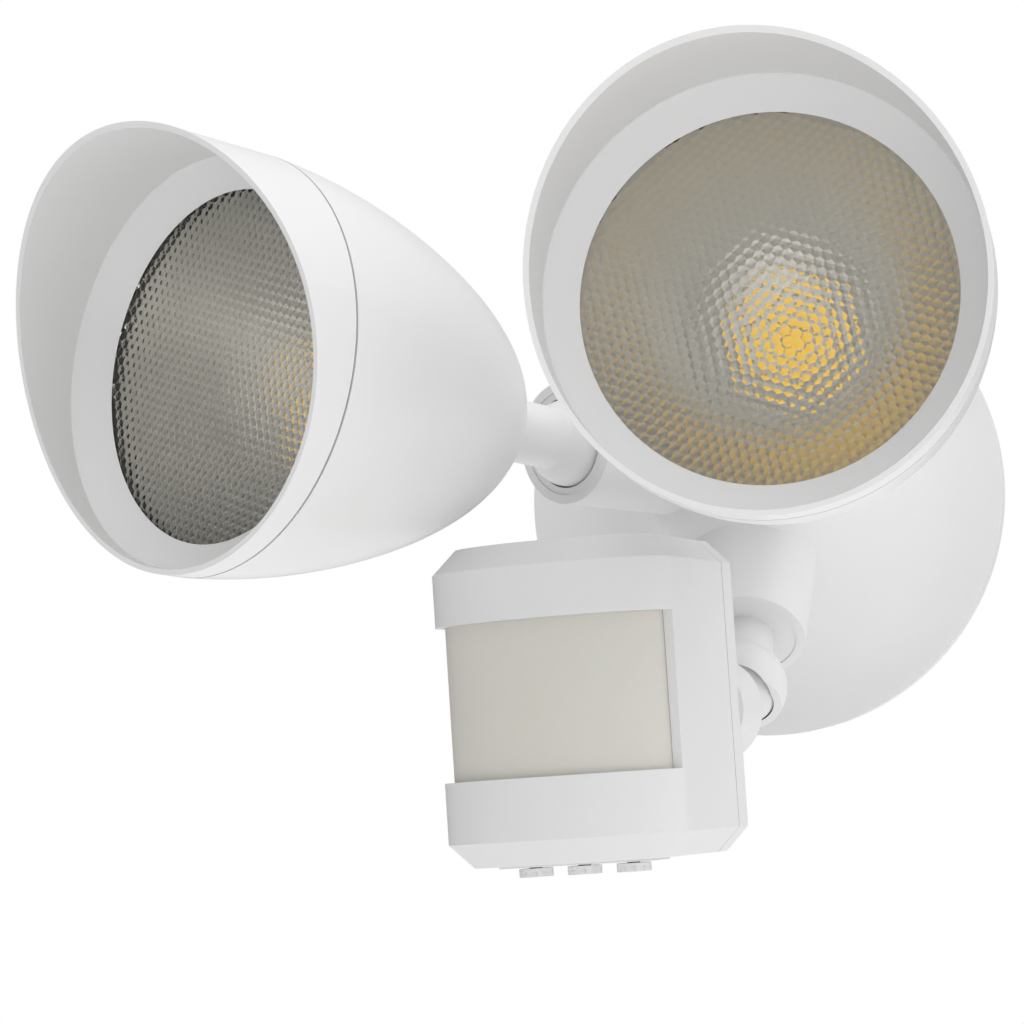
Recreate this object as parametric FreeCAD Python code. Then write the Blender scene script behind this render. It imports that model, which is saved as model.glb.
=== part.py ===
import FreeCAD, Part
import math
import os

from FreeCAD import Placement, Rotation, Vector

# Motion sensor security light: a round wall canopy with three bosses carries two
# hooded lamp heads and one motion sensor, each on an adjustable arm.
#
# Row frame: origin at the centre of the canopy's back, on the wall. +Z is up, the
# wall is towards +Y and the light faces -Y. Everything is modelled in a front
# frame (x right, y up, z out of the wall) and turned into the row frame at the end.
# All sizes are millimetres and all angles are degrees.

# ---------------------------------------------------------------- canopy
CANOPY_R = 63.5            # outer radius, covers a round 4 inch box
RIM_H = 4.2                # height of the straight rim on the wall
RIM_STEP = 1.3             # the face starts this far inside the rim
CANOPY_WALL = 1.8
NECK_R = 24.0              # radius where the trumpet face reaches the crown
NECK_Z = 36.0
CROWN_Z = 50.0
FLARE_POWER = 3.0          # how sharply the face sweeps up to the crown
NOTCH_W = 5.4              # drain notch at the bottom of the rim
NOTCH_X = 7.4              # drain notch, to the right of the lowest point
NOTCH_H = 2.1
GASKET_T = 1.5
GASKET_W = 6.0

# ---------------------------------------------------------------- lamp bosses and arms
BOSS_SPREAD = 30.0         # each lamp boss points this far out to its side
PIVOT_X = 33.3             # centre of a lamp ball, to the side,
PIVOT_Y = 12.6             # up
PIVOT_Z = 75.7             # and out from the wall
BOSS_END_R = 15.3
BOSS_ROOT_R = 21.0
BOSS_LIP = 2.0             # the boss end stands this far past the ball centre
BALL_R = 11.0
BALL_FOOT = 8.0            # the ball is cut flat this far behind its centre
SEAT_GAP = 0.4             # ball to cup
CUP_R = 13.0
CUP_DEPTH = 12.0           # cup length behind the ball centre
CUP_SINK = 0.3             # cup face below the boss end
SPIGOT_R = 8.0
SPIGOT_L = 12.0
FLANGE_T = 3.0             # inner flange of a boss, clamped by the nut
RUN_FIT = 0.05             # radial running clearance
END_GAP = 0.3              # end clearance between parts that turn
WIRE_R = 3.2               # wire way through balls and stems
CUP_WIRE_ROOM = 1.6        # the way widens by this in the cup, for the tilt
PIN_R = 1.3
PIN_NEAR = 5.0             # inner end of a tilt pin from the centre
PIN_SKIN = 0.5             # wall left outside a blind pin hole
PIN_END = 0.2              # pin end to the bottom of its hole
NUT_T = 5.0
NUT_FLATS = 23.0
STEM_R = 7.7
STEM_FILLET = 1.2
HEAD_SPIGOT_R = 6.0

# ---------------------------------------------------------------- lamp head
LENS_Z = 112.0             # front of the lens, out from the ball centre
LENS_VIEW_R = 41.0         # glass left clear by the bezel
LENS_R = 45.0
LENS_T = 3.0
BEZEL_R = 47.6             # outer edge of the conical bezel
BEZEL_H = 6.8
SHELL_R = 49.0             # rear shell at the seam
SEAM_Z = 114.6
SEAM_GAP = 0.6
SHELL_L = 89.7             # length of the bullet curve behind the seam
SHELL_P = 1.488            # the two powers that set the bullet curve
SHELL_Q = 0.485
SHELL_WALL = 2.2
INNER_GAP = 0.4            # parts inside a head or the sensor to its walls
REAR_FLAT_R = 9.0          # flat where the stem meets the shell
HOOD_RIM_R = 49.5
HOOD_WALL = 1.4
HOOD_SPIGOT_L = 3.0        # hood ring inside the rear shell, around the lens
HOOD_MID = 17.2            # hood ahead of the lens, halfway up
HOOD_SLANT = 0.268         # slope of the slanted cut
HOOD_BOW = 4.38            # the cut bows forward by this at top and bottom
LENS_SEAL_T = 1.2
COB_Z = 70.0               # light source, out from the ball centre
COB_R = 9.5
MIRROR_WALL = 1.2
MIRROR_R = 43.5            # rim of the reflector, under the lens seal
SINK_T = 6.0
FIN_COUNT = 7
FIN_PITCH = 6.0
FIN_T = 1.8
FIN_H = 12.0
DRIVER_W = 22.0
DRIVER_H = 30.0
DRIVER_T = 14.0
HEAD_NUT_FLATS = 17.0

# pose of the two heads in the rest position: yaw, pitch up, roll on the stem
HEAD_POSE = {
    "left": (-29.8, 8.5, 8.8),
    "right": (4.1, 5.9, 6.6),
}

# ---------------------------------------------------------------- sensor
SENSOR_BOSS_Y = -38.0      # centre of the sensor boss end, below the canopy centre
SENSOR_BOSS_Z = 50.0       # and out from the wall
SENSOR_BOSS_DIP = 50.0     # the boss points this far below level
KNUCKLE_DROP = 18.6        # boss end to the centre of the domed knuckle
KNUCKLE_R = 11.5
KNUCKLE_CUT = 5.3          # open face of the knuckle, past its centre
KNUCKLE_WALL = 1.7
LINK_NECK_R = 5.4
SLOT_GAP = 0.7             # side clearance of the link neck in its slot
TILT_UP_ROOM = 3.0         # the slot lets the link tilt up this many degrees
BARREL_OUT = 3.0           # barrel shows this much behind the socket
LINK_BEND = 2.0            # bend of the link behind the barrel
SENSOR_W = 59.0
SENSOR_H = 74.0
SENSOR_SIDE = 41.0         # flat side, front to back
SENSOR_BULGE = 16.0        # curved front, ahead of the flat sides
SENSOR_CHAMFER = 5.7
SENSOR_WALL = 2.2
BACK_T = 6.5               # depth of the back cover
COVER_GAP = 0.4            # seam between the two covers
WINDOW_TOP = 19.1          # window edges, above and below the middle
WINDOW_LOW = -17.0
WINDOW_RIGHT = 1.5         # window ends this far ahead of the flat right side
WINDOW_LEFT = 6.0          # and this far round onto the flat left side
WINDOW_LAP = 2.0           # the lens sheet reaches this far past its opening
LENS_INSET = 1.4
SENSOR_LENS_T = 0.9
SENSOR_AT = (-22.5, -54.1, 94.4)   # middle of the sensor's back
SENSOR_YAW = -7.0
SENSOR_ROLL = -2.6
SOCKET_X = 17.5            # arm socket on the back cover
SOCKET_Y = -3.1
SOCKET_L = 14.5
SOCKET_R = 13.0
SOCKET_FLOOR = 3.5         # floor of the socket, behind the sensor's back
SOCKET_HOLE_R = 5.3        # neck of the link through the floor
BARREL_R = 10.4
DIAL_R = 4.0
DIAL_H = 2.0
DIAL_PITCH = 12.2
DIAL_BACK = 8.5            # dials behind the front end of the flat sides

# ---------------------------------------------------------------- wall bracket
BAR_L = 104.0
BAR_W = 16.0
BAR_T = 1.6
BOX_SPACING = 88.9         # screws of a 4 inch box
SMALL_SPACING = 69.9       # and of a smaller box, in round holes
BOX_SLOT_L = 9.0
BOX_SLOT_R = 2.1
BOX_SCREW_R = 1.9
BOX_HEAD_R = 3.6
BOX_HEAD_H = 1.8
GROUND_X = 18.0            # green screw beside the canopy bolt
GROUND_R = 2.0
CENTRE_R = 2.5             # threaded hole for the canopy bolt
CENTRE_NUT_FLATS = 8.0
CENTRE_NUT_H = 4.0
BOLT_SINK = 4.6            # seat of the bolt head below the crown
BOLT_HEAD_R = 4.6
BOLT_HEAD_H = 2.8
PLUG_R = 6.0
PLUG_DOME = 0.6
THREAD_FIT = 0.03

O = Vector(0, 0, 0)
XA = Vector(1, 0, 0)
YA = Vector(0, 1, 0)
ZA = Vector(0, 0, 1)
TO_ROW = Placement(O, Rotation(XA, 90))
nodes = {}


# ================================================================ helpers
def keep(name, shape):
    nodes[name] = shape


def placed(shape, placement):
    out = shape.copy()
    out.Placement = placement.multiply(out.Placement)
    return out


def tube(r, z0, z1, bore=0.0):
    solid = Part.makeCylinder(r, z1 - z0, Vector(0, 0, z0))
    if bore > 0:
        solid = solid.cut(Part.makeCylinder(bore, z1 - z0, Vector(0, 0, z0)))
    return solid


def cone(r0, r1, z0, z1):
    return Part.makeCone(r0, r1, z1 - z0, Vector(0, 0, z0))


def spun(edges):
    return Part.Face(Part.Wire(edges)).revolve(O, ZA, 360)


def line(a, b):
    return Part.makeLine(Vector(a[0], 0, a[1]), Vector(b[0], 0, b[1]))


def chain(points):
    return [line(a, b) for a, b in zip(points, points[1:])]


def ring(points):
    return spun(chain(points + [points[0]]))


def curve(points):
    spline = Part.BSplineCurve()
    spline.interpolate([Vector(r, 0, z) for r, z in points])
    return spline.toShape()


def hexagon(flats, z0, z1):
    r = flats / math.sqrt(3)
    pts = [Vector(r * math.cos(a), r * math.sin(a), z0) for a in turns(6)]
    return Part.Face(Part.makePolygon(pts + [pts[0]])).extrude(Vector(0, 0, z1 - z0))


def turns(count, start=0.0):
    return [math.radians(start) + 2 * math.pi * i / count for i in range(count)]


def box(cx, cy, wx, wy, z0, z1):
    return Part.makeBox(wx, wy, z1 - z0, Vector(cx - wx / 2, cy - wy / 2, z0))


def facing(centre, z_dir, x_dir):
    """Placement at centre with its z along z_dir and its x along x_dir."""
    return Placement(centre, Rotation(x_dir, z_dir.cross(x_dir), z_dir, "ZXY"))


def aim(yaw, pitch, roll=0.0):
    turn = Rotation(YA, yaw).multiply(Rotation(XA, -pitch))
    return turn.multiply(Rotation(ZA, roll))


# ================================================================ canopy
def flare_z(r, lift=0.0):
    edge = CANOPY_R - RIM_STEP
    share = (edge - r) / (edge - NECK_R)
    return RIM_H + (NECK_Z - RIM_H) * share ** FLARE_POWER - lift


def canopy_skin(inset):
    """Solid under the canopy's face, drawn in by inset."""
    edge = CANOPY_R - RIM_STEP
    rim_r = CANOPY_R - inset
    radii = [min(edge, rim_r), 54.0, 46.0, 38.0, 32.0, 27.0, NECK_R]
    face = []
    for r in radii:
        shift = inset * (radii[0] - r) / (radii[0] - NECK_R)
        face.append((r - shift, flare_z(r, inset)))
    neck_r = NECK_R - inset
    crown = CROWN_Z - inset
    dome = [face[-1], (0.8 * neck_r, NECK_Z + 0.62 * (crown - NECK_Z)), (0, crown)]
    rim = [(0, 0), (rim_r, 0), (rim_r, face[0][1])]
    if rim_r > face[0][0]:
        rim.append(face[0])
    edges = chain(rim)
    edges.append(curve(face))
    edges.append(curve(dome))
    edges.append(line((0, crown), (0, 0)))
    return spun(edges)


def boss_directions():
    """Unit directions of the left, right and sensor bosses, out of the canopy."""
    side = math.radians(BOSS_SPREAD)
    dip = math.radians(SENSOR_BOSS_DIP)
    left = Vector(-math.sin(side), 0, math.cos(side))
    right = Vector(math.sin(side), 0, math.cos(side))
    sensor = Vector(0, -math.sin(dip), math.cos(dip))
    return left, right, sensor


PIVOT = {
    "left": Vector(-PIVOT_X, PIVOT_Y, PIVOT_Z),
    "right": Vector(PIVOT_X, PIVOT_Y, PIVOT_Z),
}
LEFT_DIR, RIGHT_DIR, SENSOR_DIR = boss_directions()
BOSS_DIR = {"left": LEFT_DIR, "right": RIGHT_DIR}
SENSOR_END = Vector(0, SENSOR_BOSS_Y, SENSOR_BOSS_Z)
LAMP_BOSS_L = PIVOT_Z / math.cos(math.radians(BOSS_SPREAD)) - 14.0
SENSOR_BOSS_L = SENSOR_BOSS_Z / math.cos(math.radians(SENSOR_BOSS_DIP)) - 14.0
CUP_BACK = CUP_DEPTH + END_GAP                 # seat of the cup in its boss
FLANGE_BACK = CUP_BACK + FLANGE_T
CAVITY_BACK = FLANGE_BACK + 1.0


def lamp_frame(side):
    """Boss frame: z out of the boss, x along the tilt pins of that side's ball."""
    across = BOSS_DIR[side].cross(head_axis(side))
    across.normalize()
    return facing(PIVOT[side], BOSS_DIR[side], across)


def head_axis(side):
    yaw, pitch, roll = HEAD_POSE[side]
    return aim(yaw, pitch).multVec(ZA)


def stem_frame(side):
    across = BOSS_DIR[side].cross(head_axis(side))
    across.normalize()
    return facing(PIVOT[side], head_axis(side), across)


def head_frame(side):
    return Placement(PIVOT[side], aim(*HEAD_POSE[side]))


SENSOR_BOSS = facing(SENSOR_END, SENSOR_DIR, XA)


def canopy():
    bosses = []
    for side in ("left", "right"):
        bosses.append((lamp_frame(side), LAMP_BOSS_L, BOSS_LIP))
    bosses.append((SENSOR_BOSS, SENSOR_BOSS_L, BOSS_LIP))
    body = canopy_skin(0)
    hollow = canopy_skin(CANOPY_WALL)
    for frame, length, lip in bosses:
        body = body.fuse(placed(cone(BOSS_ROOT_R, BOSS_END_R, -length, lip), frame))
    wall = Part.makeBox(300, 300, 100, Vector(-150, -150, -100))
    body = body.cut(wall)
    for frame, length, lip in bosses:
        root = BOSS_ROOT_R - CANOPY_WALL
        slope = (BOSS_ROOT_R - BOSS_END_R) / (length + lip)
        tip = BOSS_END_R - CANOPY_WALL + slope * (CAVITY_BACK + lip)
        hollow = hollow.fuse(placed(cone(root, tip, -length, -CAVITY_BACK), frame))
    body = body.cut(hollow.cut(wall))
    for frame, length, lip in bosses:
        body = body.fuse(placed(tube(BOSS_END_R - 1.0, -CAVITY_BACK - 0.5, -6.0), frame))
        seat = tube(CUP_R + RUN_FIT, -CUP_BACK, lip + 1)
        way = tube(SPIGOT_R + 0.3, -CAVITY_BACK - 2, 0)
        spot = tube(NUT_FLATS / math.sqrt(3) + 0.8, -FLANGE_BACK - 12, -FLANGE_BACK)
        body = body.cut(placed(seat, frame)).cut(placed(way, frame))
        body = body.cut(placed(spot, frame))
    head_z = CROWN_Z - BOLT_SINK
    pad = tube(PLUG_R + CANOPY_WALL, head_z - CANOPY_WALL, CROWN_Z - CANOPY_WALL / 2)
    notch = box(NOTCH_X, -CANOPY_R, NOTCH_W, 9, -1, NOTCH_H)
    hole = tube(CENTRE_R + 0.4, 0, CROWN_Z + PLUG_DOME)
    counterbore = tube(PLUG_R, head_z, CROWN_Z + 2 * PLUG_DOME)
    body = body.fuse(pad).cut(notch)
    keep("canopy", body.cut(hole).cut(counterbore))


def canopy_back():
    gasket_r = CANOPY_R - CANOPY_WALL - RUN_FIT - 0.25
    keep("canopy_gasket", tube(gasket_r, 0, GASKET_T, gasket_r - GASKET_W))
    bar = box(0, 0, BAR_L, BAR_W, 0, BAR_T)
    slot_run = BOX_SLOT_L - 2 * BOX_SLOT_R
    for sign in (-1, 1):
        x = sign * BOX_SPACING / 2
        slot = box(x, 0, slot_run, 2 * BOX_SLOT_R, 0, BAR_T)
        for end in (-1, 1):
            centre = Vector(x + end * slot_run / 2, 0, 0)
            slot = slot.fuse(Part.makeCylinder(BOX_SLOT_R, BAR_T, centre))
        bar = bar.cut(slot)
    screw_places = [Vector(sign * SMALL_SPACING / 2, 0, 0) for sign in (-1, 1)]
    for at in screw_places:
        bar = bar.cut(Part.makeCylinder(BOX_SLOT_R, BAR_T, at))
    ground_at = Vector(GROUND_X, 0, 0)
    bar = bar.cut(tube(CENTRE_R, 0, BAR_T))
    bar = bar.cut(Part.makeCylinder(GROUND_R, BAR_T, ground_at))
    keep("crossbar", bar)
    screws = []
    for at in screw_places:
        head = Part.makeCylinder(BOX_HEAD_R, BOX_HEAD_H, at + ZA * BAR_T)
        screws.append(head.fuse(Part.makeCylinder(BOX_SCREW_R, BAR_T, at)))
    keep("box_screws", Part.makeCompound(screws))
    ground = Part.makeCylinder(GROUND_R - THREAD_FIT, BAR_T, ground_at)
    keep("ground_screw", ground.fuse(Part.makeCylinder(BOX_HEAD_R, BOX_HEAD_H, ground_at + ZA * BAR_T)))
    head_z = CROWN_Z - BOLT_SINK
    bolt = tube(CENTRE_R - THREAD_FIT, 0, head_z)
    keep("centre_bolt", bolt.fuse(tube(BOLT_HEAD_R, head_z, head_z + BOLT_HEAD_H)))
    nut = hexagon(CENTRE_NUT_FLATS, BAR_T, BAR_T + CENTRE_NUT_H)
    keep("centre_nut", nut.cut(tube(CENTRE_R, 0, BAR_T + CENTRE_NUT_H)))
    keep("bolt_plug", tube(PLUG_R - RUN_FIT, head_z + BOLT_HEAD_H, CROWN_Z + PLUG_DOME))


# ================================================================ ball arms
def swivel_cup():
    """Cup that turns in a boss, with a round seat and two blind pin holes."""
    cup = tube(CUP_R, -CUP_DEPTH, BOSS_LIP - CUP_SINK)
    cup = cup.fuse(tube(SPIGOT_R, -CUP_DEPTH - SPIGOT_L, -CUP_DEPTH))
    cup = cup.cut(Part.makeSphere(BALL_R + SEAT_GAP))
    cup = cup.cut(tube(WIRE_R + CUP_WIRE_ROOM, -CUP_DEPTH - SPIGOT_L, 0))
    return cup.cut(pin_pair(PIN_R + RUN_FIT, CUP_R - PIN_SKIN))


def pin_pair(r, reach):
    pair = []
    for sign in (-1, 1):
        start = Vector(sign * PIN_NEAR, 0, 0)
        pair.append(Part.makeCylinder(r, reach - PIN_NEAR, start, XA * sign))
    return Part.makeCompound(pair)


def spigot_nut():
    top = -FLANGE_BACK - END_GAP
    nut = hexagon(NUT_FLATS, top - NUT_T, top)
    return nut.cut(tube(SPIGOT_R, top - NUT_T, top))


def ball_with_stem(stem_end, spigot_r, spigot_end):
    ball = Part.makeSphere(BALL_R).cut(box(0, 0, 40, 40, -20, -BALL_FOOT))
    ball = ball.fuse(tube(STEM_R, 0, stem_end))
    meet = math.sqrt(BALL_R ** 2 - STEM_R ** 2)
    edges = [e for e in ball.Edges if on_ring(e, STEM_R, meet)]
    ball = ball.makeFillet(STEM_FILLET, edges)
    ball = ball.fuse(tube(spigot_r, stem_end - 1, spigot_end))
    ball = ball.cut(tube(WIRE_R, -20, spigot_end + 1))
    return ball.cut(pin_pair(PIN_R, BALL_R + 1))


def on_ring(edge, r, z):
    box_ = edge.BoundBox
    flat = abs(box_.ZMin - z) < 0.01 and abs(box_.ZMax - z) < 0.01
    return flat and abs(box_.XMax - r) < 0.01


def shell_r(z):
    share = max(0.0, (SEAM_Z - z) / SHELL_L)
    return SHELL_R * (1 - share ** SHELL_P) ** SHELL_Q


def shell_z(r):
    share = (1 - (r / SHELL_R) ** (1 / SHELL_Q)) ** (1 / SHELL_P)
    return SEAM_Z - SHELL_L * share


REAR_Z = shell_z(REAR_FLAT_R)                  # flat rear of the shell
STEM_END = REAR_Z - END_GAP
INNER_REAR_Z = REAR_Z + SHELL_WALL + 1.0


def lamp_arm(side):
    cup_frame = lamp_frame(side)
    keep(side + "_swivel_cup", placed(swivel_cup(), cup_frame))
    keep(side + "_swivel_nut", placed(spigot_nut(), cup_frame))
    stem = ball_with_stem(STEM_END, HEAD_SPIGOT_R, INNER_REAR_Z + END_GAP + NUT_T)
    keep(side + "_ball_stem", placed(stem, stem_frame(side)))
    pins = pin_pair(PIN_R, CUP_R - PIN_SKIN - PIN_END)
    keep(side + "_tilt_pins", placed(pins, stem_frame(side)))
    low = INNER_REAR_Z + END_GAP
    nut = hexagon(HEAD_NUT_FLATS, low, low + NUT_T - 1)
    nut = nut.cut(tube(HEAD_SPIGOT_R, low, low + NUT_T))
    keep(side + "_stem_nut", placed(nut, stem_frame(side)))


# ================================================================ lamp heads
def bullet(inset, z_front):
    """Solid of the bullet curve, inset from the outside, up to z_front."""
    rear = REAR_Z + inset
    zs = [rear + (z_front - rear) * t for t in (0, 0.02, 0.07, 0.16, 0.3, 0.5, 0.75, 1)]
    shift = inset * 0.55
    pts = [(max(shell_r(z - shift) - inset, 0.5), z) for z in zs]
    edges = [line((0, rear), pts[0]), curve(pts), line(pts[-1], (0, z_front))]
    edges.append(line((0, z_front), (0, rear)))
    return spun(edges)


def rear_shell():
    mouth = SEAM_Z - SEAM_GAP / 2
    shell = bullet(0, mouth)
    shell = shell.cut(bullet(SHELL_WALL, mouth))
    pad = tube(HEAD_SPIGOT_R + 5.0, REAR_Z + 0.5, INNER_REAR_Z)
    shell = shell.fuse(pad)
    shell = shell.cut(tube(HEAD_SPIGOT_R + RUN_FIT, REAR_Z - 2, INNER_REAR_Z + 1))
    rest = tube(SHELL_R - 1.0, MIRROR_TOP - 2.0, MIRROR_TOP, MIRROR_R + 0.2)
    return shell.fuse(rest.common(bullet(0.5, mouth)))


MIRROR_TOP = LENS_Z - LENS_T - LENS_SEAL_T


def hood():
    """Hood with its conical bezel, cut on a slant: long side up."""
    back = LENS_Z + 0.05
    spigot_r = bullet_room(back - HOOD_SPIGOT_L)
    seam = SEAM_Z + SEAM_GAP / 2
    tall = LENS_Z + HOOD_MID + HOOD_SLANT * HOOD_RIM_R + HOOD_BOW + 2
    inner_r = HOOD_RIM_R - HOOD_WALL
    step = LENS_Z + BEZEL_H
    points = [(spigot_r, back - HOOD_SPIGOT_L), (spigot_r, seam), (SHELL_R, seam)]
    points += [(HOOD_RIM_R, tall), (inner_r, tall), (BEZEL_R + 0.25, step), (BEZEL_R, step)]
    points += [(LENS_VIEW_R, back), (LENS_R + 0.2, back), (LENS_R + 0.2, back - HOOD_SPIGOT_L)]
    blank = ring(points)
    y = HOOD_RIM_R + 8
    base = LENS_Z + HOOD_MID
    bow = HOOD_BOW * (y / HOOD_RIM_R) ** 2
    low = Vector(-80, -y, base - HOOD_SLANT * y + bow)
    mid = Vector(-80, 0, base)
    high = Vector(-80, y, base + HOOD_SLANT * y + bow)
    lid = [Part.Arc(low, mid, high).toShape()]
    top_high = Vector(-80, y, tall + 40)
    top_low = Vector(-80, -y, tall + 40)
    lid += [Part.makeLine(high, top_high), Part.makeLine(top_high, top_low)]
    lid.append(Part.makeLine(top_low, low))
    cutter = Part.Face(Part.Wire(lid)).extrude(Vector(160, 0, 0))
    return blank.cut(cutter)


def mirror():
    low = COB_Z + END_GAP
    top = MIRROR_TOP
    depth = top - low
    foot = COB_R + 2.5
    outer = []
    for share in (0, 0.12, 0.35, 0.65, 1):
        r = foot + (MIRROR_R - foot) * math.sqrt(share)
        outer.append((r, low + depth * share))
    inner = [(r - MIRROR_WALL, z) for r, z in outer]
    lip = [(outer[-1][0], top), (inner[-1][0], top)]
    edges = [curve(outer), line(lip[0], lip[1]), curve(inner), line(inner[0], outer[0])]
    return spun(edges)


def heat_sink():
    top = COB_Z - 1.6
    low = top - SINK_T
    r = bullet_room(low)
    sink = tube(r, low, top)
    room = bullet_room(low - FIN_H)
    for i in range(FIN_COUNT):
        x = (i - (FIN_COUNT - 1) / 2) * FIN_PITCH
        if abs(x) < DRIVER_W / 2 + FIN_T:
            continue
        reach = math.sqrt(room ** 2 - (abs(x) + FIN_T / 2) ** 2)
        sink = sink.fuse(box(x, 0, FIN_T, 2 * reach, low - FIN_H, low))
    return sink


def bullet_room(z):
    return shell_r(z - SHELL_WALL * 0.55) - SHELL_WALL - INNER_GAP


def head(side):
    frame = head_frame(side)
    parts = {}
    parts["rear_shell"] = rear_shell()
    parts["hood"] = hood()
    parts["lens"] = tube(LENS_R, LENS_Z - LENS_T, LENS_Z)
    parts["lens_seal"] = tube(LENS_R, MIRROR_TOP, LENS_Z - LENS_T, LENS_R - 2.5)
    parts["reflector"] = mirror()
    parts["heat_sink"] = heat_sink()
    board = box(0, 0, 24, 24, COB_Z - 1.6, COB_Z)
    parts["led_board"] = board
    parts["led_chip"] = tube(COB_R, COB_Z, COB_Z + 0.7)
    low = COB_Z - 1.6 - SINK_T
    parts["led_driver"] = box(0, 0, DRIVER_W, DRIVER_H, low - DRIVER_T, low)
    for name, shape in parts.items():
        keep(side + "_" + name, placed(shape, frame))


# ================================================================ sensor arm
def knuckle_centre():
    return SENSOR_END + SENSOR_DIR * KNUCKLE_DROP


def sensor_frame():
    return Placement(Vector(*SENSOR_AT), Rotation(YA, SENSOR_YAW) * Rotation(ZA, SENSOR_ROLL))


def socket_mouth():
    """Middle of the arm socket's mouth, and the way its bore runs, forwards."""
    frame = sensor_frame()
    mouth = frame.multVec(Vector(SOCKET_X, SOCKET_Y, -SOCKET_L))
    return mouth, frame.Rotation.multVec(ZA)


def sector(angle_a, angle_b, reach, half_width):
    """Wedge about the x axis between two angles measured from z towards y."""
    pts = [O]
    for angle in (angle_a, angle_b):
        a = math.radians(angle)
        pts.append(Vector(0, reach * math.sin(a), reach * math.cos(a)))
    face = Part.Face(Part.makePolygon(pts + [pts[0]]))
    face.translate(Vector(-half_width, 0, 0))
    return face.extrude(Vector(2 * half_width, 0, 0))


def link_points():
    """Pivot, bend and barrel start of the sensor link, in the front frame."""
    mouth, bore = socket_mouth()
    pivot = SENSOR_END + SENSOR_DIR * KNUCKLE_DROP
    return pivot, mouth - bore * (BARREL_OUT + LINK_BEND), mouth - bore * BARREL_OUT


def link_angle():
    """Angle of the link neck from the boss direction, up towards the front."""
    pivot, bend, start = link_points()
    way = SENSOR_BOSS.inverse().Rotation.multVec(bend - pivot)
    return math.degrees(math.atan2(way.y, way.z))


def link_lean():
    """How far the link neck has moved to one side where it leaves the knuckle."""
    pivot, bend, start = link_points()
    way = bend - pivot
    return abs(way.x) / way.Length * KNUCKLE_R


def arm_knuckle():
    """Journal, stem and domed knuckle, open below, with a slot for the link."""
    arm = tube(CUP_R, -CUP_DEPTH, BOSS_LIP - CUP_SINK)
    arm = arm.fuse(tube(SPIGOT_R, -CUP_DEPTH - SPIGOT_L, -CUP_DEPTH))
    arm = arm.fuse(tube(STEM_R, 0, KNUCKLE_DROP - 4))
    centre = Vector(0, 0, KNUCKLE_DROP)
    arm = arm.fuse(Part.makeSphere(KNUCKLE_R, centre))
    face = KNUCKLE_DROP + KNUCKLE_CUT
    arm = arm.cut(Part.makeSphere(KNUCKLE_R - KNUCKLE_WALL, centre))
    arm = arm.cut(box(0, 0, 60, 60, face, face + 40))
    slot_r = LINK_NECK_R + SLOT_GAP + link_lean()
    up = link_angle() + TILT_UP_ROOM
    slot = sector(-10, up, 30, slot_r)
    slot = slot.fuse(placed(tube(slot_r, 0, 26), Placement(O, Rotation(XA, -up))))
    slot.translate(centre)
    arm = arm.cut(slot).cut(tube(WIRE_R, -40, KNUCKLE_DROP))
    pins = pin_pair(PIN_R + RUN_FIT, KNUCKLE_R - 0.6)
    pins.translate(centre)
    return arm.cut(pins)


def rod(a, b, r):
    way = b - a
    return Part.makeCylinder(r, way.Length, a, way)


def sensor_link():
    pivot, bend, start = link_points()
    mouth, bore = socket_mouth()
    ball_r = KNUCKLE_R - KNUCKLE_WALL - SEAT_GAP
    link = Part.makeSphere(ball_r, pivot).fuse(rod(pivot, bend, LINK_NECK_R))
    link = link.fuse(Part.makeSphere(LINK_NECK_R, bend))
    link = link.fuse(rod(bend, start, LINK_NECK_R))
    barrel_end = mouth + bore * (SOCKET_L - SOCKET_FLOOR - END_GAP)
    barrel = rod(start, barrel_end, BARREL_R)
    link = link.fuse(barrel)
    link = link.fuse(rod(barrel_end, mouth + bore * (SOCKET_L + 7.5), SOCKET_HOLE_R - 0.3))
    pins = pin_pair(PIN_R, KNUCKLE_R)
    pins.translate(pivot)
    return link.cut(pins)


def sensor_arm():
    keep("sensor_arm_knuckle", placed(arm_knuckle(), SENSOR_BOSS))
    keep("sensor_arm_nut", placed(spigot_nut(), SENSOR_BOSS))
    keep("sensor_link", sensor_link())
    pins = pin_pair(PIN_R, KNUCKLE_R - 0.8)
    pins.translate(knuckle_centre())
    keep("sensor_tilt_pins", pins)
    low = SENSOR_WALL + END_GAP
    nut = hexagon(14.0, low, low + 4.0).cut(tube(SOCKET_HOLE_R - 0.3, low, low + 4.0))
    nut.translate(Vector(SOCKET_X, SOCKET_Y, 0))
    keep("sensor_link_nut", placed(nut, sensor_frame()))


# ================================================================ sensor
# The sensor is drawn in plan: x right, front towards -y, z up. Its back is y = 0.
PLAN = Placement(O, Rotation(XA, -90))


def sensor_block(inset):
    """Sensor body: flat sides, curved front, chamfered top and bottom."""
    half = SENSOR_W / 2 - inset
    side = -SENSOR_SIDE
    nose = SENSOR_BULGE - inset
    z = SENSOR_H / 2 - inset
    oval = Part.Ellipse(Vector(0, side, -z), half, nose)
    front = Part.ArcOfEllipse(oval, math.pi, 2 * math.pi).toShape()
    corners = [(half, side), (half, -inset), (-half, -inset), (-half, side)]
    pts = [Vector(x, y, -z) for x, y in corners]
    edges = [front] + [Part.makeLine(a, b) for a, b in zip(pts, pts[1:])]
    block = Part.Face(Part.Wire(edges)).extrude(Vector(0, 0, 2 * z))
    rims = [e for e in block.Edges if rim_edge(e, z, inset)]
    return block.makeChamfer(SENSOR_CHAMFER - inset * 0.4, rims)


def rim_edge(edge, z, inset):
    size = edge.BoundBox
    level = size.ZLength < 0.01 and abs(abs(size.ZMin) - z) < 0.01
    return level and size.YMin < -inset - 0.01


def cut_box(x0, x1, y0, y1, z0, z1):
    return Part.makeBox(x1 - x0, y1 - y0, z1 - z0, Vector(x0, y0, z0))


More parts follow.
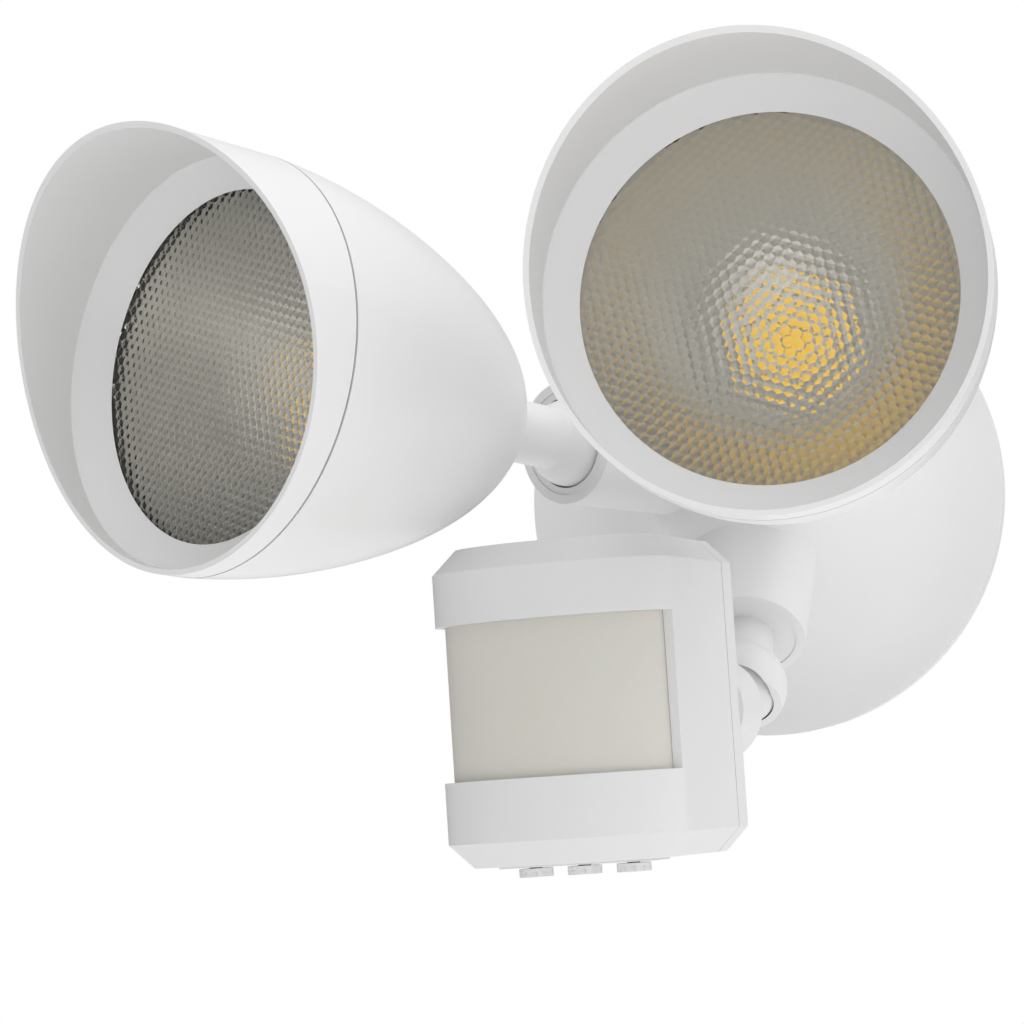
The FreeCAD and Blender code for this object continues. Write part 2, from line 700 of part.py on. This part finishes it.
def band(y0, y1):
    return cut_box(-60, 60, y0, y1, -60, 60)


def peg(x, z, r, y0, y1):
    return Part.makeCylinder(r, y0 - y1, Vector(x, y0, z), Vector(0, -1, 0))


SCREW_X = SENSOR_W / 2 - 5.1
SCREW_Z = SENSOR_H / 2 - 7.5
PCB_Y = -12.0
DIAL_Y = -(SENSOR_SIDE - DIAL_BACK)
BASE_Z = -SENSOR_H / 2
PLATE_T = 0.6


def corners(x, z):
    return [(sx * x, sz * z) for sx in (-1, 1) for sz in (-1, 1)]


def dial_places():
    return [(i * DIAL_PITCH, DIAL_Y) for i in (-1, 0, 1)]


def window_room(lap):
    """Space of the window's opening, grown by lap on every edge."""
    low, top = WINDOW_LOW - lap, WINDOW_TOP + lap
    left = cut_box(-SENSOR_W, 0, -SENSOR_W * 2, WINDOW_LEFT - SENSOR_SIDE + lap, low, top)
    right_y = -SENSOR_SIDE - WINDOW_RIGHT + lap
    return left.fuse(cut_box(0, SENSOR_W, -SENSOR_W * 2, right_y, low, top))


def front_cover():
    seam = -BACK_T - COVER_GAP / 2
    cover = sensor_block(0).cut(sensor_block(SENSOR_WALL)).common(band(-70, seam))
    cover = cover.cut(window_room(0))
    for x, z in corners(SCREW_X, SCREW_Z):
        cover = cover.fuse(peg(x, z, 3.1, seam, -20.0))
    for x, z in corners(SCREW_X, SCREW_Z):
        cover = cover.cut(peg(x, z, 1.2, seam, -18.0))
    for x, y in dial_places():
        cover = cover.cut(Part.makeCylinder(1.5 + RUN_FIT, 6, Vector(x, y, BASE_Z - 1)))
    return cover


def back_cover():
    seam = -BACK_T + COVER_GAP / 2
    shell = sensor_block(0).cut(sensor_block(SENSOR_WALL)).common(band(seam, 1))
    socket = peg(SOCKET_X, SOCKET_Y, SOCKET_R, SOCKET_L, -0.5)
    shell = shell.fuse(socket)
    rest = [e for e in shell.Edges if socket_rim(e)]
    shell = shell.makeFillet(0.8, rest)
    bore = peg(SOCKET_X, SOCKET_Y, BARREL_R + RUN_FIT, SOCKET_L + 1, SOCKET_FLOOR)
    lead = Part.makeCone(SOCKET_R - 1.3, BARREL_R, 2.0, Vector(SOCKET_X, SOCKET_L, SOCKET_Y),
                         Vector(0, -1, 0))
    hole = peg(SOCKET_X, SOCKET_Y, SOCKET_HOLE_R, SOCKET_L, -10)
    shell = shell.cut(bore).cut(lead).cut(hole)
    for x, z in corners(19.0, 24.0):
        shell = shell.fuse(peg(x, z, 2.4, -1.0, PCB_Y))
    for x, z in corners(SCREW_X, SCREW_Z):
        shell = shell.fuse(peg(x, z, 3.1, -1.0, seam))
    for x, z in corners(SCREW_X, SCREW_Z):
        shell = shell.cut(peg(x, z, 1.4, 1, -10)).cut(peg(x, z, 2.7, 1, -1.8))
    return shell


def socket_rim(edge):
    size = edge.BoundBox
    return size.YLength < 0.01 and abs(size.YMin - SOCKET_L) < 0.01


def sensor_window():
    skin = SENSOR_WALL + 0.1
    sheet = sensor_block(skin).cut(sensor_block(skin + SENSOR_LENS_T))
    return sheet.common(window_room(WINDOW_LAP))


def cover_seal():
    skin = SENSOR_WALL + 0.1
    sheet = sensor_block(skin).cut(sensor_block(skin + 1.0))
    sheet = sheet.common(band(-BACK_T - 1.6, -BACK_T + 1.6))
    for x, z in corners(SCREW_X, SCREW_Z):
        sheet = sheet.cut(peg(x, z, 3.2, 0, -20))
    return sheet


def dial(x, y):
    low = BASE_Z - PLATE_T - END_GAP - DIAL_H
    knob = Part.makeCylinder(DIAL_R, DIAL_H, Vector(x, y, low))
    for a in turns(10):
        groove = Vector(x + DIAL_R * math.cos(a), y + DIAL_R * math.sin(a), low)
        knob = knob.cut(Part.makeCylinder(0.5, DIAL_H - 0.8, groove))
    knob = knob.cut(cut_box(x - 2.6, x + 2.6, y - 0.4, y + 0.4, low, low + 0.7))
    return knob.fuse(Part.makeCylinder(1.5, 6.2, Vector(x, y, low + DIAL_H - 0.1)))


def dial_pots():
    pots = []
    floor = BASE_Z + SENSOR_WALL
    for x, y in dial_places():
        pot = cut_box(x - 4.5, x + 4.5, y - 4.5, y + 4.5, floor, floor + 4.0)
        pots.append(pot.cut(Part.makeCylinder(1.5 + RUN_FIT, 3.5, Vector(x, y, floor))))
    return Part.makeCompound(pots)


def sensor():
    frame = sensor_frame().multiply(PLAN)
    parts = {}
    parts["sensor_front_cover"] = front_cover()
    parts["sensor_back_cover"] = back_cover()
    parts["sensor_window"] = sensor_window()
    parts["sensor_seal"] = cover_seal()
    parts["sensor_board"] = cut_box(-23.0, 23.0, PCB_Y - 1.6, PCB_Y, -26.0, 26.0)
    parts["infrared_detector"] = peg(0, 2.0, 4.6, PCB_Y - 1.6, PCB_Y - 6.0)
    plate = cut_box(-19.0, 19.0, DIAL_Y - 6.0, DIAL_Y + 6.0, BASE_Z - PLATE_T, BASE_Z)
    for x, y in dial_places():
        plate = plate.cut(Part.makeCylinder(1.5 + RUN_FIT, 4, Vector(x, y, BASE_Z - 2)))
    parts["control_plate"] = plate
    parts["dial_pots"] = dial_pots()
    for name, (x, y) in zip(("range_dial", "time_dial", "dusk_dial"), dial_places()):
        parts[name] = dial(x, y)
    screws = []
    for x, z in corners(SCREW_X, SCREW_Z):
        screws.append(peg(x, z, 2.5, 0, -1.8).fuse(peg(x, z, 1.2, -1.0, -16.0)))
    parts["sensor_screws"] = Part.makeCompound(screws)
    for name, shape in parts.items():
        keep(name, placed(shape, frame))


# ================================================================ build
def build():
    canopy()
    canopy_back()
    for side in ("left", "right"):
        lamp_arm(side)
        head(side)
    sensor_arm()
    sensor()
    os.makedirs("parts", exist_ok=True)
    for name, shape in nodes.items():
        placed(shape, TO_ROW).exportStep("parts/" + name + ".step")
        print(name, len(shape.Solids), round(shape.Volume / 1000, 2), shape.isValid())


build()
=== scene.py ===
import math

import bmesh
import bpy
from mathutils import Matrix, Vector


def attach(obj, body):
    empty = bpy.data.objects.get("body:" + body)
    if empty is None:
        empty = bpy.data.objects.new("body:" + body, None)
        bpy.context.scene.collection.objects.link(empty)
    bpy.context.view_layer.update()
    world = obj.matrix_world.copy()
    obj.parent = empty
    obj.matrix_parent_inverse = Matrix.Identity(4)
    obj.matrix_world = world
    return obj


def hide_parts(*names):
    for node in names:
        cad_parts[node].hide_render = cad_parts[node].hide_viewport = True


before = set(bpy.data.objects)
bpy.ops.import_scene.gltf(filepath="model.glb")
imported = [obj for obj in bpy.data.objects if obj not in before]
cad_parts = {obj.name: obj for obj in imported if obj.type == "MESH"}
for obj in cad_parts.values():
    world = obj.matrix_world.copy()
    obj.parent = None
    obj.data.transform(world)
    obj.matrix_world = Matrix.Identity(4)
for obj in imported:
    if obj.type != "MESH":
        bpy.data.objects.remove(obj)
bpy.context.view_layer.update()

# ---------------------------------------------------------------- view of the light
# The light is seen from below and from its right, at arm's length, on a plain white
# ground: one camera, a white room of soft light and a pale floor far underneath.
CAMERA_AT = Vector((0.17734, -0.91658, -0.09109))
CAMERA_AIM = Vector((-0.2599, 0.9603, 0.1010))
CAMERA_UP = Vector((0.1291, -0.0691, 0.9892))
LENS_MM = 123.05
FILM_WIDTH_MM = 36.0
NEAREST_SEEN = 0.01


def linear(hex_colour):
    """Turns an sRGB hex colour into the linear values that the shaders take."""
    parts = [int(hex_colour[i:i + 2], 16) / 255 for i in (1, 3, 5)]
    flat = [p / 12.92 if p <= 0.04045 else ((p + 0.055) / 1.055) ** 2.4 for p in parts]
    return (*flat, 1.0)


def add_node(tree, kind, links=None, **settings):
    """Adds one node; links maps its inputs to values or to (node, output) pairs."""
    node = tree.nodes.new(kind)
    for name, value in settings.items():
        setattr(node, name, value)
    for name, value in (links or {}).items():
        if isinstance(value, tuple) and isinstance(value[0], bpy.types.Node):
            tree.links.new(value[0].outputs[value[1]], node.inputs[name])
        else:
            node.inputs[name].default_value = value
    return node


camera = bpy.data.objects.new("camera", bpy.data.cameras.new("camera"))
bpy.context.scene.collection.objects.link(camera)
across = CAMERA_AIM.cross(CAMERA_UP).normalized()
upright = across.cross(CAMERA_AIM).normalized()
turn = Matrix((across, upright, -CAMERA_AIM.normalized())).transposed()
camera.matrix_world = Matrix.Translation(CAMERA_AT) @ turn.to_4x4()
camera.data.lens = LENS_MM
camera.data.sensor_width = FILM_WIDTH_MM
camera.data.clip_start = NEAREST_SEEN
bpy.context.scene.camera = camera
bpy.context.scene.view_settings.view_transform = "Standard"

# The room: white wherever it is seen straight or through a lens. As light it is bright
# above and to the right, dim on the viewer's side and dimmer still to the left.
ROOM_LIGHT = {"all round": 0.02, "from the right": 0.84,
              "from above": 1.3, "from the front": 0.22}
room = bpy.data.worlds.new("white_room")
room.use_nodes = True
bpy.context.scene.world = room
tree = room.node_tree
tree.nodes.clear()
rays = add_node(tree, "ShaderNodeLightPath")
shown = add_node(tree, "ShaderNodeMath", {0: (rays, "Is Camera Ray"),
                                          1: (rays, "Is Transmission Ray")},
                 operation="MAXIMUM")
place = add_node(tree, "ShaderNodeTexCoord")
side = add_node(tree, "ShaderNodeSeparateXYZ", {0: (place, "Generated")})
glow = add_node(tree, "ShaderNodeValue")
glow.outputs[0].default_value = ROOM_LIGHT["all round"]
LIT_SIDES = (("X", 1, "from the right"), ("Z", 1, "from above"), ("Y", -1, "from the front"))
for axis, sign, share in LIT_SIDES:
    facing = add_node(tree, "ShaderNodeMath", {0: (side, axis), 1: sign * ROOM_LIGHT[share]},
                      operation="MULTIPLY")
    facing = add_node(tree, "ShaderNodeMath", {0: (facing, 0), 1: 0.0}, operation="MAXIMUM")
    glow = add_node(tree, "ShaderNodeMath", {0: (glow, 0), 1: (facing, 0)}, operation="ADD")
soft = add_node(tree, "ShaderNodeBackground", {"Color": (1, 1, 1, 1), "Strength": (glow, 0)})
white = add_node(tree, "ShaderNodeBackground", {"Color": (1, 1, 1, 1), "Strength": 1.0})
both = add_node(tree, "ShaderNodeMixShader", {0: (shown, 0), 1: (soft, 0), 2: (white, 0)})
add_node(tree, "ShaderNodeOutputWorld", {0: (both, 0)})


def soft_lamp(name, place, aim, size, power):
    """A large square lamp that shines from place towards aim."""
    lamp = bpy.data.objects.new(name, bpy.data.lights.new(name, "AREA"))
    lamp.data.size = size
    lamp.data.energy = power
    lamp.location = place
    lamp.rotation_mode = "QUATERNION"
    lamp.rotation_quaternion = (Vector(aim) - Vector(place)).to_track_quat("-Z", "Y")
    bpy.context.scene.collection.objects.link(lamp)


LAMP_AIM = (0, -0.1, 0)
soft_lamp("key_lamp", (0.9, -0.3, 0.9), LAMP_AIM, size=0.7, power=0.5)
soft_lamp("low_lamp", (0.1, -0.6, -0.44), LAMP_AIM, size=0.6, power=0.8)

FLOOR_Z = -0.45
FLOOR_SIZE = 6.0
bpy.ops.object.select_all(action="DESELECT")
bpy.ops.mesh.primitive_plane_add(size=FLOOR_SIZE, location=(0, 0, FLOOR_Z))
floor = bpy.context.object
floor.name = "floor"
pale = bpy.data.materials.new("pale_floor")
pale.use_nodes = True
floor_shader = pale.node_tree.nodes["Principled BSDF"]
floor_shader.inputs["Base Color"].default_value = linear("#F4F4F4")
floor_shader.inputs["Roughness"].default_value = 0.9
floor.data.materials.append(pale)


# ---------------------------------------------------------------- canopy
# The canopy is one aluminium die casting, shot blasted and powder coated white. The
# coat gives a satin skin with a very fine orange peel.
ORANGE_PEEL_MM = 1.1
RELIEF_STRENGTH = 0.5
DRIFT_SCALE = 22.0


def start_material(name, colour, roughness, metallic=0.0, ior=1.5):
    """A material with one shader and its plain values."""
    material = bpy.data.materials.new(name)
    material.use_nodes = True
    shader = material.node_tree.nodes["Principled BSDF"]
    shader.inputs["Base Color"].default_value = linear(colour)
    shader.inputs["Roughness"].default_value = roughness
    shader.inputs["Metallic"].default_value = metallic
    if not metallic:
        shader.inputs["IOR"].default_value = ior
    return material, shader


def grain(material, shader, size_mm, depth_mm, tones=None, rough=None):
    """Fine relief of a real size, with a faint drift in colour and roughness."""
    tree = material.node_tree
    place = add_node(tree, "ShaderNodeTexCoord")
    fine = add_node(tree, "ShaderNodeTexNoise", {"Vector": (place, "Object"), "Detail": 3.0,
                                                 "Scale": 1000.0 / size_mm})
    relief = add_node(tree, "ShaderNodeBump", {"Height": (fine, 0), "Strength": RELIEF_STRENGTH,
                                               "Distance": depth_mm / 1000})
    tree.links.new(relief.outputs[0], shader.inputs["Normal"])
    drift = add_node(tree, "ShaderNodeTexNoise", {"Vector": (place, "Object"), "Detail": 2.0,
                                                  "Scale": DRIFT_SCALE})
    if tones:
        mix = add_node(tree, "ShaderNodeMix", {0: (drift, 0), 6: linear(tones[0]),
                                               7: linear(tones[1])}, data_type="RGBA")
        tree.links.new(mix.outputs[2], shader.inputs["Base Color"])
    if rough:
        spread = add_node(tree, "ShaderNodeMapRange", {"Value": (drift, 0), "To Min": rough[0],
                                                       "To Max": rough[1]})
        tree.links.new(spread.outputs[0], shader.inputs["Roughness"])


def dress(material, *names):
    """Gives the material to the CAD nodes with these names."""
    for name in names:
        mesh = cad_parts[name].data
        mesh.materials.clear()
        mesh.materials.append(material)


powder_coat, shader = start_material("white_powder_coat_on_aluminium", "#E0E0E0", 0.4)
grain(powder_coat, shader, ORANGE_PEEL_MM, 0.012, ("#DEDEDE", "#E3E3E3"), (0.36, 0.44))
dress(powder_coat, "canopy", "bolt_plug")

# The back of the canopy is closed against the wall by a foam ring, and hangs from a
# zinc plated steel crossbar by one long bolt and its nut. The ground screw is green.
foam, shader = start_material("black_closed_cell_foam", "#26262A", 0.85)
grain(foam, shader, 0.6, 0.08, ("#222226", "#2C2C30"))
dress(foam, "canopy_gasket")
zinc, shader = start_material("bright_zinc_plated_steel", "#C4C7CB", 0.3, 1.0)
grain(zinc, shader, 0.8, 0.006, ("#BEC2C8", "#CBCBC8"), (0.24, 0.38))
dress(zinc, "crossbar", "box_screws", "centre_bolt", "centre_nut")
green, shader = start_material("green_dyed_ground_screw", "#2E7D43", 0.35, 0.6)
grain(green, shader, 0.8, 0.006, ("#2A753E", "#358A4C"))
dress(green, "ground_screw")


# ---------------------------------------------------------------- lamp arms
# Each arm is a cast cup that turns in its boss and a ball with a hollow stem, held by
# steel pins and flat nuts. They are coated with the same white powder as the canopy.
SIDES = ("left", "right")
for side_name in SIDES:
    dress(powder_coat, side_name + "_swivel_cup", side_name + "_ball_stem")
    dress(zinc, side_name + "_swivel_nut", side_name + "_tilt_pins", side_name + "_stem_nut")

# ---------------------------------------------------------------- lamp heads
# A head is a spun bullet shell and a slanted hood, pressed together at a fine seam.
# Both are aluminium under the same white coat, a little smoother than the castings.
shell_coat, shader = start_material("white_powder_coat_on_spun_shell", "#E3E3E3", 0.34)
grain(shell_coat, shader, ORANGE_PEEL_MM, 0.008, ("#E1E1E1", "#E5E5E5"), (0.3, 0.38))
for side_name in SIDES:
    dress(shell_coat, side_name + "_rear_shell", side_name + "_hood")

# Inside each head are a cast heat sink, a white LED board with its round yellow
# light source, a sealed driver block and a bright metallised reflector cup.
cast_aluminium, shader = start_material("cast_aluminium_heat_sink", "#B9BBBE", 0.45, 1.0)
grain(cast_aluminium, shader, 0.9, 0.02, ("#B2B4B8", "#C1C2C4"))
mask, shader = start_material("white_solder_mask", "#E9E9E4", 0.35)
grain(mask, shader, 1.5, 0.004)
PHOSPHOR_GLOW = 0.6
phosphor, shader = start_material("yellow_phosphor_gel", "#FFD24A", 0.5)
shader.inputs["Emission Color"].default_value = linear("#FFD04A")
shader.inputs["Emission Strength"].default_value = PHOSPHOR_GLOW
grain(phosphor, shader, 0.7, 0.02, ("#FFCE44", "#FFD654"))
driver_case, shader = start_material("black_moulded_nylon", "#2B2C2F", 0.5)
grain(driver_case, shader, 0.7, 0.02, ("#28292C", "#303135"))
metallised, shader = start_material("metallised_reflector_cup", "#DEDFDF", 0.3, 1.0)
grain(metallised, shader, 2.5, 0.01, ("#DADBDB", "#E2E3E3"))
rubber, shader = start_material("black_silicone_rubber", "#1E1F21", 0.6)
grain(rubber, shader, 0.5, 0.01, ("#1B1C1E", "#242528"))
for side_name in SIDES:
    dress(cast_aluminium, side_name + "_heat_sink")
    dress(mask, side_name + "_led_board")
    dress(phosphor, side_name + "_led_chip")
    dress(driver_case, side_name + "_led_driver")
    dress(metallised, side_name + "_reflector")
    dress(rubber, side_name + "_lens_seal")

# ---------------------------------------------------------------- lamp lenses
# The lens is a clear polycarbonate disc. Its face is moulded into a honeycomb of
# shallow domes that break the light source into small yellow dots.
BALL_AT = {"left": (-0.0333, -0.0757, 0.0126), "right": (0.0333, -0.0757, 0.0126)}
HEAD_POSE = {"left": (-29.8, 8.5, 8.8), "right": (4.1, 5.9, 6.6)}
LENS_FACE = 0.112
LENS_THICK = 0.003
LENS_RADIUS = 0.045
CELL_PITCH = 0.00235
CELL_RISE = 0.00028
CELL_STEPS = (1.0, 0.66, 0.32)
COLUMN_STEP = CELL_PITCH * math.sqrt(3)
PLAIN_RIM = 0.0018
MERGE_REACH = 0.00002
SMOOTH_BELOW = math.radians(12)


def head_place(side_name):
    """The place of a lamp head: out along the wall's normal, then yaw, pitch and roll."""
    yaw, pitch, roll = [math.radians(a) for a in HEAD_POSE[side_name]]
    turn = Matrix.Rotation(math.pi / 2, 4, "X") @ Matrix.Rotation(yaw, 4, "Y")
    turn = turn @ Matrix.Rotation(-pitch, 4, "X") @ Matrix.Rotation(roll, 4, "Z")
    return Matrix.Translation(BALL_AT[side_name]) @ turn


def pick(piece, kind, test):
    """Selects only the vertices, edges or faces of the piece that pass the test."""
    bpy.ops.mesh.select_mode(type={"verts": "VERT", "edges": "EDGE", "faces": "FACE"}[kind])
    bpy.ops.mesh.select_all(action="DESELECT")
    shape = bmesh.from_edit_mesh(piece.data)
    for item in getattr(shape, kind):
        if test(item):
            item.select_set(True)
    shape.select_flush_mode()
    bmesh.update_edit_mesh(piece.data)


def settle(piece, name, place, material):
    """Names the piece, moves its mesh to its place and gives it its material."""
    piece.name = name
    piece.data.transform(place @ piece.matrix_world)
    piece.matrix_world = Matrix.Identity(4)
    piece.data.materials.clear()
    piece.data.materials.append(material)


def repeat(piece, count, step):
    """Repeats the piece in a row, with shared corners merged."""
    row = piece.modifiers.new("row", "ARRAY")
    row.use_relative_offset = False
    row.use_constant_offset = True
    row.constant_offset_displace = step
    row.count = count
    row.use_merge_vertices = True
    row.merge_threshold = MERGE_REACH
    bpy.ops.object.modifier_apply(modifier=row.name)


clear_plastic, shader = start_material("clear_polycarbonate_lens", "#EDEAE3", 0.03, ior=1.49)
shader.inputs["Transmission Weight"].default_value = 1.0

# One six-sided cell is stepped up to a low dome, doubled to the next column and then
# repeated into a field, which is trimmed round and closed behind with a flat back.
half_cell = CELL_PITCH / 2
bpy.ops.object.select_all(action="DESELECT")
bpy.ops.mesh.primitive_circle_add(vertices=6, radius=CELL_PITCH / math.sqrt(3),
                                  fill_type="NGON", rotation=(0, 0, math.radians(30)))
cell = bpy.context.object
bpy.ops.object.mode_set(mode="EDIT")
for outer, share in zip(CELL_STEPS, CELL_STEPS[1:]):
    bpy.ops.mesh.inset(thickness=(outer - share) * half_cell)
    bpy.ops.transform.translate(value=(0, 0, CELL_RISE * (outer ** 2 - share ** 2)))
bpy.ops.mesh.poke()
pick(cell, "verts", lambda v: len(v.link_edges) == 6 and v.co.length < half_cell / 10)
bpy.ops.transform.translate(value=(0, 0, CELL_RISE * CELL_STEPS[-1] ** 2))
bpy.ops.mesh.select_all(action="SELECT")
bpy.ops.mesh.duplicate_move(TRANSFORM_OT_translate={
    "value": (COLUMN_STEP / 2, half_cell, 0)})
bpy.ops.object.mode_set(mode="OBJECT")
bpy.ops.object.transform_apply(location=False, rotation=True, scale=False)
columns = math.ceil(2 * LENS_RADIUS / COLUMN_STEP)
rows = math.ceil(2 * LENS_RADIUS / CELL_PITCH)
repeat(cell, columns, (COLUMN_STEP, 0, 0))
repeat(cell, rows, (0, CELL_PITCH, 0))
middle = Vector(((columns // 2) * COLUMN_STEP, (rows // 2) * CELL_PITCH, 0))
cell.data.transform(Matrix.Translation(-middle))
bpy.ops.object.mode_set(mode="EDIT")
bpy.ops.mesh.select_all(action="SELECT")
bpy.ops.mesh.remove_doubles(threshold=MERGE_REACH)
kept_radius = LENS_RADIUS - PLAIN_RIM
pick(cell, "faces", lambda f: f.calc_center_median().xy.length > kept_radius)
bpy.ops.mesh.delete(type="FACE")
shape = bmesh.from_edit_mesh(cell.data)
for vertex in shape.verts:
    if vertex.is_boundary:
        rim = vertex.co.xy.normalized() * LENS_RADIUS
        vertex.co = (rim.x, rim.y, 0)
bmesh.update_edit_mesh(cell.data)
pick(cell, "edges", lambda e: e.is_boundary)
bpy.ops.mesh.extrude_region_move(TRANSFORM_OT_translate={
    "value": (0, 0, CELL_RISE - LENS_THICK)})
bpy.ops.mesh.edge_face_add()
bpy.ops.mesh.select_all(action="SELECT")
bpy.ops.mesh.normals_make_consistent(inside=False)
bpy.ops.object.mode_set(mode="OBJECT")
bpy.ops.object.shade_smooth_by_angle(angle=SMOOTH_BELOW)
cell.data.transform(Matrix.Translation((0, 0, LENS_FACE - CELL_RISE)))
for side_name in SIDES:
    lens = cell.copy()
    lens.data = cell.data.copy()
    bpy.context.scene.collection.objects.link(lens)
    settle(lens, side_name + "_cell_lens", head_place(side_name), clear_plastic)
    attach(lens, side_name + "_head")
    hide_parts(side_name + "_lens")
bpy.data.objects.remove(cell)

# ---------------------------------------------------------------- sensor arm
# The sensor hangs from a third boss by a domed knuckle and a link, cast and
# coated like the lamp arms. Its barrel turns in the socket of the sensor's back.
dress(powder_coat, "sensor_arm_knuckle", "sensor_link")
dress(zinc, "sensor_arm_nut", "sensor_tilt_pins", "sensor_link_nut")

# ---------------------------------------------------------------- sensor
# The sensor's two covers are injection moulded from white ABS, with a satin finish
# from a finely spark eroded mould. The front one frames the milky window.
moulded, shader = start_material("white_moulded_abs", "#DDDDDD", 0.42)
grain(moulded, shader, 0.8, 0.01, ("#DBDBDB", "#E0E0E0"), (0.38, 0.46))
dress(moulded, "sensor_front_cover", "sensor_back_cover", "control_plate")

# The window is thin milky polyethylene that lets heat rays through.
milky, shader = start_material("milky_polyethylene_window", "#D5CFC8", 0.45, ior=1.51)
MILK_SHARE = 0.25
MILK_DEPTH = 0.004
shader.inputs["Subsurface Weight"].default_value = MILK_SHARE
shader.inputs["Subsurface Scale"].default_value = MILK_DEPTH
grain(milky, shader, 1.2, 0.01, ("#D3CCC4", "#D9D4CD"))
dress(milky, "sensor_window")

# Behind the window stand the circuit board and the round metal detector can. The
# seal, the screws and the three pots with their pale dials close the rest.
circuit, shader = start_material("green_circuit_board", "#1F5A38", 0.4)
grain(circuit, shader, 1.2, 0.006, ("#1C5233", "#25643F"))
dress(circuit, "sensor_board")
can, shader = start_material("drawn_nickel_can", "#BFBDB8", 0.28, 1.0)
grain(can, shader, 0.8, 0.005, ("#B8B6B1", "#C7C5C0"))
dress(can, "infrared_detector")
dress(rubber, "sensor_seal")
dress(zinc, "sensor_screws")
dress(driver_case, "dial_pots")
dial_plastic, shader = start_material("pale_translucent_acetal", "#E2E2E1", 0.35)
grain(dial_plastic, shader, 0.9, 0.01, ("#DFDFDE", "#E6E6E5"))
dress(dial_plastic, "range_dial", "time_dial", "dusk_dial")
